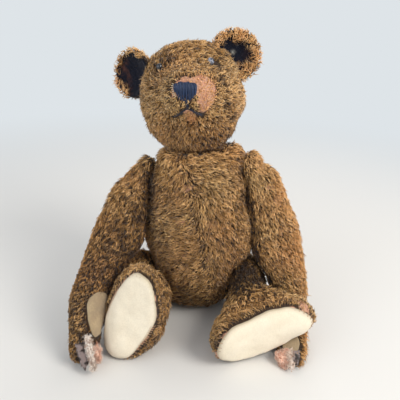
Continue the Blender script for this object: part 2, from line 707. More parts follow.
def head_comb(p):
    """The head's pile sweeps over the brow in arcs, and the snout is worn bare on one side."""
    across, up, forward = head_axes()
    a, u, f = head_frame(p)
    flat_place = np.stack([a, u], axis=1)
    radial = unit(np.outer(a, across) + np.outer(u, up) + 1e-6)
    comb = radial * 0.8 - forward * 0.8
    brow = step(0.010, 0.032, u)
    arcs = -np.cross(forward, radial) - 0.35 * forward + 0.1 * radial
    comb = mix(comb, arcs, brow * step(0.075, 0.05, np.abs(a)) * 0.92)
    jowl = step(-0.015, -0.045, u)
    comb = mix(comb, np.outer(np.tanh(a / 0.02), across) * 0.5 - up, jowl * 0.8)
    comb = mix(comb, 0.25 * np.outer(np.tanh(a / 0.03), across) - up, step(-0.062, -0.084, f))

    # worn bare: the cheek beside the nose, the skin over it, its edge and the chin
    ragged = 0.0022 * ripple(p, 0.004, 7) + 0.0012 * ripple(p, 0.0018, 8)
    oval = np.hypot((u + 0.003) / 0.0146, (a - 0.0125) / 0.0125)
    cheek = step(0.006, 0.0095, a + ragged) * step(1.2, 0.78, oval) * step(-0.026, -0.019, f + 2 * ragged)
    over = (step(0.0125, 0.0095, np.abs(a - 0.0045)) * step(0.003, 0.0055, u) * step(0.0125, 0.0095, u + ragged)
            * step(-0.012, -0.007, f))
    edge = (step(0.0116, 0.0102, np.hypot(a + 0.001, u + 0.001)) * step(-0.010, -0.006, f)
            * step(-0.0035, -0.0005, u))
    chin_line = [middle("nose_stitching") + (x * across + y * up + z * forward) * MM
                 for x, y, z in ((-1.5, -16, -10), (-0.5, -19, -18), (0, -22, -25))]
    chin = near_path(p, chin_line, 0.0066)
    bald = np.clip(cheek + over * 0.85 + edge + 0.6 * step(0.2, 0.7, chin + 90 * ragged), 0, 1)
    eyes = np.maximum(*(spot(p, middle(eye) - 0.0035 * up + 0.002 * forward, 0.0066 + wider)
                        for eye, wider in (("eye_left", 0.0030), ("eye_right", 0.0))))
    lips = near_path(flat_place, [(-0.0135, -0.0175), (-0.0006, -0.0112), (0.0095, -0.019)], 0.0032)
    lips = lips * step(-0.034, -0.024, f)

    right_jaw = jowl * step(-0.01, 0.02, a)
    shade = 0.16 - 0.22 * brow + 0.07 * ripple(p, 0.02, 8) - 0.26 * right_jaw - 0.09 * jowl
    shade = shade + 0.20 * step(0.02, 0.045, a) * step(0.03, 0.0, u) * step(-0.03, -0.01, u)
    shade = shade - 0.17 * np.maximum(spot(p, middle("eye_left"), 0.013), spot(p, middle("eye_right"), 0.013))
    shade = shade - 0.32 * spot(p, middle("eye_right") + 0.011 * up + 0.005 * across, 0.016)
    crease = near_path(flat_place, [(0.025, 0.016), (0.030, -0.002), (0.028, -0.013), (0.033, -0.023)], 0.0045)
    shade = shade - 0.22 * crease * step(-0.06, -0.05, f)
    warm = 0.25 + 0.4 * ripple(p, 0.03, 9) + 0.5 * right_jaw
    shade, warm = shade + 0.34 * bald, warm + 0.8 * bald
    pile = (1 - 0.66 * step(0.3, 0.8, bald)) * (1 - step(0.15, 0.5, eyes)) * (1 - step(0.2, 0.7, lips))
    near = step(0.034, 0.016, np.sqrt(a ** 2 + u ** 2 + (f * 0.6) ** 2))
    return dict(nap=comb, pile=pile * (1 - 0.8 * step(0.6, 1.0, edge)), bald=bald, shade=shade, warm=warm,
                reach=(1 - 0.38 * near) * (1 - 0.42 * step(0.1, 0.9, bald)),
                amber=np.clip(0.2 * chin + near_path(p, chin_line[1:], 0.0045), 0, 1))


def tear_frame(p, n, top, drop):
    """Across, down and out of a tear: its place, and the direction in which it runs, on a cover."""
    near = np.linalg.norm(p - top, axis=1) < 0.009
    out = unit(n[near].mean(axis=0))
    down = unit(np.array(drop) - np.dot(drop, out) * out)
    return np.cross(down, out), down, out


def arm_comb(side, p, n, along, travel, covered):
    """An arm's pile runs down it, rubbed thin in places and gone from its torn paw."""
    mirror = 1 if side == "left" else -1
    lit = step(0.25, 0.8, n @ unit((mirror, -0.35, 0.2)))
    warm = 0.3 + 0.4 * ripple(p, 0.03, 11)
    if side == "left":
        rubbed = [spot(p, np.array(place) * MM, 0.010) for place in RUBBED]
        bald = np.clip(np.max(rubbed, axis=0) * step(-0.3, 0.3, ripple(p, 0.006, 12)) * 1.2, 0, 1)
        shade = 0.13 + 0.16 * lit + 0.07 * ripple(p, 0.02, 13) - 0.10 * step(0.6, 0.9, travel)
        warm, inner_shade, reach = warm + 0.3 * lit, 0.60, np.ones(len(p))
    else:
        bald = 0.45 * step(0.45, 0.7, ripple(p, 0.012, 14))
        shade = -0.07 + 0.08 * lit - 0.17 * step(0.3, 0.6, travel) + 0.07 * ripple(p, 0.02, 15)
        warm = warm + 0.35 * step(0.3, 0.6, travel) * step(0.95, 0.75, travel)
        inner_shade, reach = 0.36, 1 - 0.35 * step(0.35, 0.6, travel)
    shade = shade - inner_shade * (step(0.5, 0.9, -mirror * n[:, 0]) * step(0.160, 0.150, p[:, 2]))
    for _, place, drop, width, length, _ in TEARS[side]:
        top = np.array(place) * MM
        aside, down, away = tear_frame(p, n, top, drop)
        q = p - top
        oval = np.hypot(q @ aside / (width * MM / 2), (q @ down / (length * MM / 2)) - 1)
        covered = np.maximum(covered, step(1.15, 0.9, oval) * step(-0.016, -0.010, q @ away))
    return dict(nap=along + (0.35 * mirror, 0, -0.25), pile=(1 - 0.5 * bald) * (1 - covered), reach=reach,
                bald=bald, shade=shade, warm=warm)


def leg_comb(side, p, n, along, gap, covered):
    """A leg's pile runs down it and turns over the edge of the sole, where the cloth is torn."""
    pad = f"foot_pad_{side}"
    centre, across, long_way, out = plate_frame(pad, f"leg_cover_{side}")
    q = p - centre
    height = q @ out
    ring = unit(q - np.outer(height, out))
    near_sole = step(-0.026, -0.004, height)
    comb = mix(np.broadcast_to(along + (0, 0, -0.5), p.shape), ring * 0.6 - 0.8 * out, near_sole * 0.85)
    bald = 0.55 * step(0.0026, 0.0012, gap) * step(-0.3, 0.4, ripple(p, 0.007, 19))
    ragged = 0.0022 * ripple(p, 0.004, 17)
    for right, down, far in TORN[pad]:
        away = np.hypot(q @ across - right * MM, q @ long_way - down * MM) + ragged
        bald = np.maximum(bald, step(far * MM, 0.6 * far * MM, away) * step(-0.012, -0.007, height))
    shade = -0.04 + 0.08 * ripple(p, 0.02, 18) - 0.16 * step(0.03, 0.06, -height) + 0.16 * bald
    shade = shade + 0.10 * step(0.3, 0.9, n[:, 2])
    if side == "left":
        shadow = np.maximum(spot(p, (0.050, -0.012, 0.060), 0.042), spot(p, (0.062, -0.034, 0.040), 0.030))
        shade = shade - 0.75 * shadow
    else:
        shade = shade - 0.17 * step(0.2, 0.8, n[:, 0])
    return dict(nap=comb, pile=(1 - 0.8 * bald) * (1 - covered), reach=1 - 0.3 * near_sole, bald=bald,
                shade=shade, warm=0.3 + 0.4 * ripple(p, 0.03, 11))


def limb_comb(kind, p, n, gap):
    """How a limb's pile lies, from the joint down to its felt, which is gap away."""
    limb, side = kind.split("_")
    start = np.array(JOINTS[("shoulder_" if limb == "arm" else "hip_") + side]["pos_m"])
    reach = middle(PAD_OF[kind]) - start
    along = unit(reach)
    covered = step(0.0018, 0.0012, gap)
    if limb == "arm":
        return arm_comb(side, p, n, along, (p - start) @ along / np.linalg.norm(reach), covered)
    return leg_comb(side, p, n, along, gap, covered)


def fuller(kind, p, n):
    """How far a cover swells or sinks from its solid, in metres along the normal."""
    swell = 0.0007 * ripple(p, 0.017, 21) + 0.0004 * ripple(p, 0.007, 22)
    fields = {"p": p.T, "n": n.T, "h": head_frame(p)}
    for amount, centre, radius, *fades in SWELLS[kind]:
        term = amount if centre is None else amount * spot(p, centre, radius)
        for field, axis, low, high in fades:
            term = term * step(low, high, fields[field][axis])
        swell = swell + term
    return swell


def felt_piece(name, node, under, body, proud, look):
    """A felt pad cut to its solid's outline, laid on the cloth under it and standing a little proud."""
    centre, across, along, out = plate_frame(node, COVERS[body][0][0])
    angles, reach = outline(node_points(node), centre, across, along, OUTLINE_BINS)
    turns = np.linspace(-math.pi, math.pi, FELT_TURNS, endpoint=False)
    edge = eased(np.interp(turns, angles, reach, period=2 * math.pi), 3 if node.startswith("foot") else 16)
    # rings from the middle of the face, over the edge and back to the middle underneath
    shares = np.concatenate([[0.0], np.linspace(0.08, 0.965, 14), [0.99, 1.0], [0.985, 0.9, 0.6], [0.0]])
    lifts = np.concatenate([np.full(15, proud), [0.8 * proud, 0.2 * proud], np.full(4, -0.0012)])
    cloth = surface(under)

    def landing(share, turn, far):
        x, y = trimmed(share * far * math.cos(turn), share * far * math.sin(turn), FELT_TRIM[node])
        place = centre + x * across + y * along
        seat, normal, _, _ = cloth.ray_cast(Vector(place + out * 0.03), Vector(-out), 0.045)
        return place, seat, normal

    kept = []
    for turn, far in zip(turns, edge):
        share = 0.7
        while share < 1.0:
            _, seat, normal = landing(share + 0.02, turn, far)
            if seat is None or np.dot(normal, out) < 0.3 or np.dot(np.array(seat) - centre, out) < -0.011:
                break
            share += 0.02
        kept.append(share)
    edge = edge * eased(kept, 4)
    points, faces, rows = [], [], []
    for share, lift in zip(shares, lifts):
        rows.append(len(points))
        for turn, far in zip(turns, edge) if share else ((0.0, 0.0),):
            place, seat, normal = landing(share, turn, far)
            if seat is None or np.dot(normal, out) < 0.1:
                seat, normal, _, _ = cloth.find_nearest(Vector(place))
            points.append(np.array(seat) + unit(np.array(normal) + out) * lift)
    count = len(turns)
    for k in range(1, len(shares) - 2):
        for j in range(count):
            a, b = rows[k] + j, rows[k] + (j + 1) % count
            faces.append((a, a + count, b + count, b))
    faces += [(0, 1 + j, 1 + (j + 1) % count) for j in range(count)]
    faces += [(rows[-1], rows[-2] + (j + 1) % count, rows[-2] + j) for j in range(count)]
    obj = mesh_object(name, points, [], faces)
    p, n = mesh_points(obj)
    p = p + n * (0.00022 * ripple(p, 0.009, 51) + 0.0001 * ripple(p, 0.003, 52))[:, None]
    p[:, 2] = np.maximum(p[:, 2], GROUND)
    move_points(obj, p)
    ring = np.repeat(shares, [count if share else 1 for share in shares])
    attributes(obj, rim=step(0.94, 1.0, ring) * 0.8)
    obj.data.shade_smooth()
    belongs(obj, body, "felt", node, look=look)
    return obj


class BEAR_OT_covers(bpy.types.Operator):
    """Sew the cloth covers over the stuffed forms and lay the felt soles and palms on them"""
    bl_idname = "bear.covers"
    bl_label = "Cloth covers and felts"

    def execute(self, context):
        cloth, felt = context.scene.bear_cloth, context.scene.bear_felt
        fabric = cloth_material(cloth, context.scene.bear_pile)
        felts = (("sole", felt.sole, 0.22, 0.0), ("palm", felt.palm, 0.7, 5.0))
        looks = {f"{label}_{side}": felt_material(f"{label}_felt_{side}", colour, felt.soil, amount, shift + k)
                 for label, colour, amount, shift in felts for k, side in enumerate(SIDES)}
        for kind, (nodes, joints) in COVERS.items():
            pads = [PAD_OF[kind]] if kind.startswith("leg") else []
            obj = cover_form(f"{kind}_skin", [*nodes, *pads], joints, cloth.grid)
            p, n = mesh_points(obj)
            hold = joint_mask(p, joints)
            loose = (1 - hold) * step(0.0005, 0.006, p[:, 2])
            p = p + n * (loose * fuller(kind, p, n))[:, None]
            p[:, 2] = np.maximum(p[:, 2], 0.0)
            move_points(obj, p)
            p, n = mesh_points(obj)
            if kind in PAD_OF:
                pad = PAD_OF[kind]
                name = pad.replace("foot_pad", "sole").replace("paw_pad", "palm")
                proud = felt.proud if kind.startswith("leg") else PALM_PROUD
                cut_felt = surface(felt_piece(name, pad, obj, kind, proud, looks[name]))
                gap = np.array([cut_felt.find_nearest(Vector(place), 0.006)[3] or 0.006 for place in p])
                fields = limb_comb(kind, p, n, gap)
            else:
                fields = torso_comb(p, n) if kind == "torso" else head_comb(p)
            comb, waves = flat(fields["nap"], n), WAVES[kind]
            comb = flat(comb + waves * swirl(p, 0.016, 31) + 0.5 * waves * swirl(p, 0.006, 32), n)
            bare_under = step(0.0012, 0.004, p[:, 2]) if kind == "torso" else 1.0
            attributes(obj, nap=comb, pile=np.clip(fields["pile"], 0, 1) * (1 - hold) * bare_under,
                       reach=np.clip(fields["reach"], 0.25, 1.2) * (1 - 0.5 * hold),
                       bald=np.clip(fields["bald"], 0, 1),
                       amber=np.clip(fields.get("amber", np.zeros(len(p))), 0, 1),
                       shade=np.clip(0.42 + fields["shade"], -0.5, 1), warm=np.clip(fields["warm"], 0, 1))
            belongs(obj, kind, "mohair", *nodes, look=fabric)
        return {'FINISHED'}


# ---------------------------------------------------------------- pile

# how each kind of strand leans and curls
STRANDS = {"strand_a": (0.9, 0.5), "strand_b": (1.3, -0.9), "strand_c": (-0.3, 1.2)}
# places in its own cell of the map for the corners of a strand's six triangles
STRAND_CELL = [((k + 0.5) / 3, 0.04, (k + 1) / 3, 0.5, k / 3, 0.5, k / 3, 0.5, (k + 1) / 3, 0.5,
                (k + 0.5) / 3, 0.96) for k in range(3)]


def tuft(name, lean, curl):
    """One strand: a closed spindle with a bend, as wide as 1 and as long as 1."""
    ring = [(lean + 0.5 * math.cos(a), curl + 0.5 * math.sin(a), 0.42)
            for a in (0.0, 2 * math.pi / 3, 4 * math.pi / 3)]
    faces = []
    for k in range(3):
        here, after = 1 + k, 1 + (k + 1) % 3
        faces += [(0, after, here), (here, after, 4)]
    obj = mesh_object(name, [(0, 0, -0.05), *ring, (-lean * 0.6, -curl * 1.4, 1.0)], [], faces)
    attributes(obj, along=[0.0, 0.45, 0.45, 0.45, 1.0])
    return obj


def shown_socket(sockets, *names):
    """The sockets in use of a node that hides some of its own, with these names if any are given."""
    return [socket for socket in sockets if socket.enabled and (not names or socket.name in names)]


def pile_tree(tufts):
    """Geometry nodes that set curved strands into a cover along its combed direction."""
    t, given, result = group_tree("combed_pile", 'GeometryNodeTree', [
        ("Cover", 'Geometry', None), ("Strands per area", 'Float', 700000.0), ("Length", 'Float', 0.008),
        ("Width", 'Float', 0.0009), ("Lift", 'Float', 0.5), ("Tousle", 'Float', 0.4),
        ("Lock size", 'Float', 0.0036), ("Gather", 'Float', 1.2), ("Lock stray", 'Float', 0.5),
        ("Lock contrast", 'Float', 0.5), ("Lowest", 'Float', GROUND), ("Seed", 'Int', 1),
        ("Strand material", 'Material', None)], [("Pile", 'Geometry')])
    take = given.outputs

    def field(name, kind='FLOAT'):
        return t.add('GeometryNodeInputNamedAttribute', {"Name": name}, data_type=kind).outputs["Attribute"]

    def chance(low, high, salt, kind='FLOAT'):
        made = t.add('FunctionNodeRandomValue', data_type=kind)
        for socket, value in zip(shown_socket(made.inputs, "Min", "Max"), (low, high)):
            socket.default_value = value
        t.link(t.math('ADD', take["Seed"], float(salt)), shown_socket(made.inputs, "Seed")[0])
        return shown_socket(made.outputs)[0]

    def any_way(salt):
        return chance((-1, -1, -1), (1, 1, 1), salt, 'FLOAT_VECTOR')

    spread = t.add('GeometryNodeDistributePointsOnFaces', {
        "Mesh": take["Cover"], "Seed": take["Seed"],
        "Density": t.math('MULTIPLY', take["Strands per area"], field("pile"))}, distribute_method='RANDOM')
    normal = spread.outputs["Normal"]
    lift = t.math('MULTIPLY', take["Lift"], chance(0.55, 1.5, 1))
    laid = t.scaled(field("nap", 'FLOAT_VECTOR'), t.math('COSINE', lift))
    raised = t.scaled(normal, t.math('SINE', lift))
    stray = t.scaled(any_way(2), take["Tousle"])
    spot_here = t.add('GeometryNodeInputPosition').outputs[0]
    waver = t.vector('SUBTRACT', t.noise(260.0, 2.0, spot_here, "Color"), (0.5, 0.5, 0.5))
    moved = t.vector('ADD', spot_here, t.scaled(waver, 0.004))
    lock = t.add('ShaderNodeTexVoronoi', {"Vector": moved, "Scale": t.math('DIVIDE', 1.0, take["Lock size"])})
    chosen = t.vector('SUBTRACT', lock.outputs["Color"], (0.5, 0.5, 0.5))
    inward = t.scaled(t.vector('SUBTRACT', lock.outputs["Position"], moved),
                      t.math('DIVIDE', take["Gather"], take["Length"]))
    together = t.vector('ADD', inward, t.scaled(chosen, take["Lock stray"]))
    way = t.vector('ADD', t.vector('ADD', t.vector('ADD', laid, raised), stray), together)
    bend = t.vector('ADD', normal, t.scaled(any_way(3), 0.7))
    turn = t.add('FunctionNodeAxesToRotation', {0: way, 1: bend}, primary_axis='Z', secondary_axis='X')
    width = t.math('MULTIPLY', take["Width"], chance(0.7, 1.35, 4))
    reach = t.math('MULTIPLY', t.math('MULTIPLY', take["Length"], field("reach")), chance(0.6, 1.15, 5))
    kinds = t.add('GeometryNodeJoinGeometry')
    for strand in tufts:
        seen = t.add('GeometryNodeObjectInfo', {"Object": strand, "As Instance": True})
        t.link(seen.outputs["Geometry"], kinds.inputs[0])
    placed = t.add('GeometryNodeInstanceOnPoints', {
        "Points": spread.outputs["Points"], "Instance": kinds.outputs[0], "Pick Instance": True,
        "Instance Index": t.math('FLOOR', chance(0.0, len(tufts) - 0.001, 6)), "Rotation": turn.outputs[0],
        "Scale": t.joined(width, width, reach)})
    shade = t.math('ADD', t.math('ADD', field("shade"), chance(-0.27, 0.27, 7)),
                   t.math('MULTIPLY', t.split(chosen)[1], take["Lock contrast"]))
    stored = t.add('GeometryNodeStoreNamedAttribute', {"Geometry": placed.outputs[0], "Name": "shade"},
                   data_type='FLOAT', domain='INSTANCE')
    t.link(shade, shown_socket(stored.inputs, "Value")[0])
    real = t.add('GeometryNodeRealizeInstances', {"Geometry": stored.outputs[0]})
    x, y, z = t.split(t.add('GeometryNodeInputPosition').outputs[0])
    kept = t.joined(x, y, t.math('MAXIMUM', z, take["Lowest"]))
    moved = t.add('GeometryNodeSetPosition', {"Geometry": real.outputs[0], "Position": kept})
    smooth = t.add('GeometryNodeSetShadeSmooth', {"Geometry": moved.outputs[0]})
    dressed = t.add('GeometryNodeSetMaterial', {"Geometry": smooth.outputs[0],
                                                "Material": take["Strand material"]})
    t.link(dressed.outputs[0], result.inputs[0])
    return t.tree


def grown(obj, tree, **values):
    """An object with a node group run on it, whose inputs are named with _ for spaces."""
    modifier = obj.modifiers.new("nodes", 'NODES')
    modifier.node_group = tree
    for item in tree.interface.items_tree:
        key = item.name.replace(" ", "_") if item.item_type == 'SOCKET' and item.in_out == 'INPUT' else None
        if key in values:
            modifier[item.identifier] = values.pop(key)
    if values:
        raise KeyError(f"no input named {sorted(values)}")
    return finished(obj)


def strand_map(mesh):
    """Gives each strand its own small cell of the map."""
    count = len(mesh.polygons) // 6
    side = math.ceil(math.sqrt(max(count, 1)))
    cell = np.array(STRAND_CELL).reshape(18, 2) * 0.84 + 0.08
    index = np.arange(count)
    corner = np.stack([index % side, index // side], axis=1)[:, None, :]
    places = (corner + cell[None, :, :]) / side
    mesh.uv_layers.new(name="OFBake").data.foreach_set("uv", places.astype(np.float32).ravel())


def grow_pile(skin, name, tree, body, slot="mohair", **values):
    """Makes the pile that stands on one cover."""
    obj = grown(new_object(name, skin.data.copy()), tree, **values)
    for spare in ("nap", "pile", "reach", "bald", "amber"):
        if spare in obj.data.attributes:
            obj.data.attributes.remove(obj.data.attributes[spare])
    strand_map(obj.data)
    belongs(obj, body, slot)
    return obj


class BEAR_OT_pile(bpy.types.Operator):
    """Comb the mohair pile onto the covers and the ears"""
    bl_idname = "bear.pile"
    bl_label = "Mohair pile"

    def execute(self, context):
        pile, face = context.scene.bear_pile, context.scene.bear_face
        tree = pile_tree([tuft(name, *bend) for name, bend in STRANDS.items()])
        strands = pile_material("mohair_strands", (pile.dark, pile.middle, pile.light, pile.gold), face.lining)
        common = dict(Length=pile.length, Width=pile.width, Lift=pile.lift, Tousle=pile.tousle,
                      Lock_size=pile.lock, Gather=pile.gather, Lock_stray=pile.stray,
                      Lock_contrast=pile.contrast, Lowest=GROUND, Strand_material=strands)
        for seed, kind in enumerate(COVERS):
            layers = ("under", "over") if kind == "torso" else ("over",)
            for layer, place in enumerate(layers):
                grow_pile(bpy.data.objects[f"{kind}_skin"], f"{kind}_pile_{place}", tree, kind,
                          Strands_per_area=pile.per_area / len(layers), Seed=seed + 1 + 20 * layer, **common)
        common.update(Lift=0.5, Tousle=0.3)
        for seed, side in enumerate(SIDES):
            grow_pile(bpy.data.objects[f"ear_skin_{side}"], f"ear_pile_{side}", tree, "head",
                      Strands_per_area=pile.per_area * 1.4, Seed=seed + 11, **common)
        return {'FINISHED'}


# ---------------------------------------------------------------- ears

class BEAR_OT_ears(bpy.types.Operator):
    """Shape the cupped ears and their worn linings"""
    bl_idname = "bear.ears"
    bl_label = "Ears"

    def execute(self, context):
        fabric = bpy.data.materials["mohair_cloth"]
        worn = self.lining_material(context.scene.bear_face)
        across, up, forward = head_axes()
        for seed, side in enumerate(SIDES):
            obj = cover_form(f"ear_skin_{side}", [f"ear_back_{side}", f"ear_lining_{side}"], (), EAR_GRID, 5)
            self.settle(obj, side)
            centre, _, _, out = plate_frame(f"ear_lining_{side}", f"ear_back_{side}")
            if np.dot(out, forward) < 0:
                out = -out
            p, n = mesh_points(obj)
            q = p - centre
            radial = q - np.outer(q @ out, out)
            radius, outward = np.linalg.norm(radial, axis=1), unit(radial)
            if side == "left":
                edge = 0.62 - 0.34 * step(-0.1, 0.7, outward @ unit(across + 1.3 * up))
                edge = edge - 0.24 * step(0.2, 0.8, outward @ unit(0.3 * across - up))
            else:
                edge = 0.68 + 0.5 * step(0.1, 0.7, outward @ unit(across - 0.7 * up))
            rim = step(edge, edge + 0.22, radius / radius.max() + 0.06 * ripple(p, 0.008, 41 + seed))
            front = step(-0.2, 0.3, n @ out)
            inside = front * (1 - rim)
            fringe = rim * step(-0.5, 0.2, n @ out)
            comb = mix(0.5 * outward + 0.8 * up - 0.3 * out, out - 0.25 * outward, fringe)
            comb = mix(comb, 0.2 * up - outward, inside)
            attributes(obj, nap=flat(comb + 0.5 * swirl(p, 0.008, 42), n), pile=np.clip(1 - 0.9 * inside, 0, 1),
                       reach=0.62 + 0.45 * rim * front - 0.25 * inside, bald=np.zeros(len(p)),
                       amber=np.zeros(len(p)), shade=np.clip(0.48 + 0.36 * rim - 0.32 * inside, 0, 1),
                       warm=np.clip(0.55 + 0.5 * ripple(p, 0.01, 43), 0, 1),
                       ink=np.clip(inside * 1.3 - 0.1 + 0.5 * ripple(p, 0.006, 44) * front, 0, 1))
            belongs(obj, "head", "mohair", f"ear_back_{side}", look=fabric)
            self.lining(side, seed, worn, out)
        return {'FINISHED'}

    def settle(self, obj, side):
        """Sets an ear a little lower and closer to the head."""
        across, up, _ = head_axes()
        p, _ = mesh_points(obj)
        inset, aside, size = EAR_SET[side]
        root = middle(f"ear_back_{side}") - across * inset
        move_points(obj, root + size * (p - root) + (aside * across - EAR_DROP * up))

    def lining(self, side, seed, worn, out):
        obj = cover_form(f"ear_lining_cloth_{side}", [f"ear_lining_{side}"], (), LINING_GRID, 3)
        self.settle(obj, side)
        p, n = mesh_points(obj)
        crease = 0.0005 * ripple(p, 0.006, 45 + seed) + 0.0003 * ripple(p, 0.0025, 46 + seed)
        p = p + out * 0.0013 + n * crease[:, None]
        move_points(obj, p)
        centre = p.mean(axis=0)
        across, up, _ = head_axes()
        a, u = (p - centre) @ across, (p - centre) @ up
        if side == "left":
            pale = 0.9 * spot(p, centre - 0.004 * across + 0.002 * up, 0.0042)
            rust = step(0.0, 0.009, 0.5 * a - 0.4 * u) * 0.9
        else:
            pale = np.zeros(len(p))
            rust = step(0.0, -0.006, a + 0.001) * step(0.0, 0.3, ripple(p, 0.005, 47) + 0.25)
        attributes(obj, pale=np.clip(pale * 1.3, 0, 1), rust=np.clip(rust, 0, 1))
        belongs(obj, "head", "lining", f"ear_lining_{side}", look=worn)

    def lining_material(self, face):
        """Blue-black cloth, matted, with faded rusty strips and a bare pale place."""
        t = Look("ear_lining_cloth", Roughness=0.9, Sheen_Weight=0.12, Sheen_Roughness=0.5,
                 Specular_IOR_Level=0.25)
        weave = t.add('ShaderNodeGroup', {"Threads per metre": 1700.0}, node_tree=weave_group()).outputs
        strips = t.add('ShaderNodeGroup', {"Blotches per metre": 130.0, "Amount": 0.9, "Shift": 3.0},
                       node_tree=soil_group())
        base = t.ramp(weave["Shade"], (0.3, darker(face.lining, 0.5)), (0.8, face.lining))
        rusty = t.blend(t.math('MULTIPLY', t.attribute("rust"), strips.outputs[0]), base, face.rust)
        bare = t.ramp(weave["Shade"], (0.2, rgb(120, 116, 108)), (0.8, rgb(186, 184, 176)))
        t.bump(weave["Height"], 0.6, 0.0004)
        return t.painted(t.blend(t.attribute("pale"), rusty, bare))


# ---------------------------------------------------------------- threads

def thread_tree():
    """Geometry nodes that turn drawn paths into round threads."""
    t, given, result = group_tree("drawn_threads", 'GeometryNodeTree', [
        ("Paths", 'Geometry', None), ("Thickness", 'Float', 0.001), ("Sides", 'Int', 6),
        ("Thread material", 'Material', None)], [("Threads", 'Geometry')])
    take = given.outputs
    ring = t.add('GeometryNodeCurvePrimitiveCircle', {"Resolution": take["Sides"]}, mode='RADIUS')
    t.link(t.math('MULTIPLY', take["Thickness"], 0.5), ring.inputs["Radius"])
    tube = t.add('GeometryNodeCurveToMesh', {"Curve": take["Paths"], "Profile Curve": ring.outputs[0],
                                             "Scale": t.add('GeometryNodeInputRadius').outputs[0],
                                             "Fill Caps": True})
    smooth = t.add('GeometryNodeSetShadeSmooth', {"Geometry": tube.outputs[0]})
    real = t.add('GeometryNodeRealizeInstances', {"Geometry": smooth.outputs[0]})
    dressed = t.add('GeometryNodeSetMaterial', {"Geometry": real.outputs[0],
                                                "Material": take["Thread material"]})
    t.link(dressed.outputs[0], result.inputs[0])
    return t.tree


def threads(name, body, paths, thickness, look, *nodes, sides=6):
    """One mesh of round threads along paths, which are lists of (point, relative width)."""
    curve = bpy.data.curves.new(name, 'CURVE')
    curve.dimensions = '3D'
    for path in paths:
        spline = curve.splines.new('POLY')
        spline.points.add(len(path) - 1)
        for point, (place, width) in zip(spline.points, path):
            point.co = (*place, 1.0)
            point.radius = width
    tree = bpy.data.node_groups.get("drawn_threads") or thread_tree()
    obj = grown(new_object(name, curve), tree, Thickness=thickness, Sides=sides, Thread_material=look)
    belongs(obj, body, "thread", *nodes)


def laid_path(tree, start, end, toward, lift, count=8, arch=0.0):
    """Points from start to end, laid on a surface found by looking along a direction."""
    path = []
    for share in np.linspace(0, 1, count):
        guess = Vector(start * (1 - share) + end * share)
        place, normal, _, _ = tree.ray_cast(guess - Vector(toward) * 0.04, Vector(toward))
        if place is None:
            place, normal, _, _ = tree.find_nearest(guess)
        raised = lift + arch * math.sin(math.pi * share)
        path.append((np.array(place) + np.array(normal) * raised, 1.0))
    return path


# ---------------------------------------------------------------- face

NOSE_ROWS = 15              # rows of satin stitch across the nose
NOSE_LEAN = math.radians(-7.3)
# half the outline of a boot button, from the middle of its dome to the middle of its back: distance out and
# height, in millimetres
BUTTON = ((0, 2.5), (1.1, 2.42), (2.0, 2.1), (2.7, 1.55), (3.15, 0.95), (3.4, 0.55), (3.5, 0.1), (3.3, -0.35),
          (2.6, -0.6), (1.0, -0.7), (0, -0.7))


def nose_edges(x):
    """Top and bottom edge of the stitched nose at a distance across it, in millimetres."""
    return 6.5 - 2.0 * abs(x / 8.6) ** 6, -9.8 * (1 - min(1, abs(x - 0.8) / 9.6) ** 1.35)


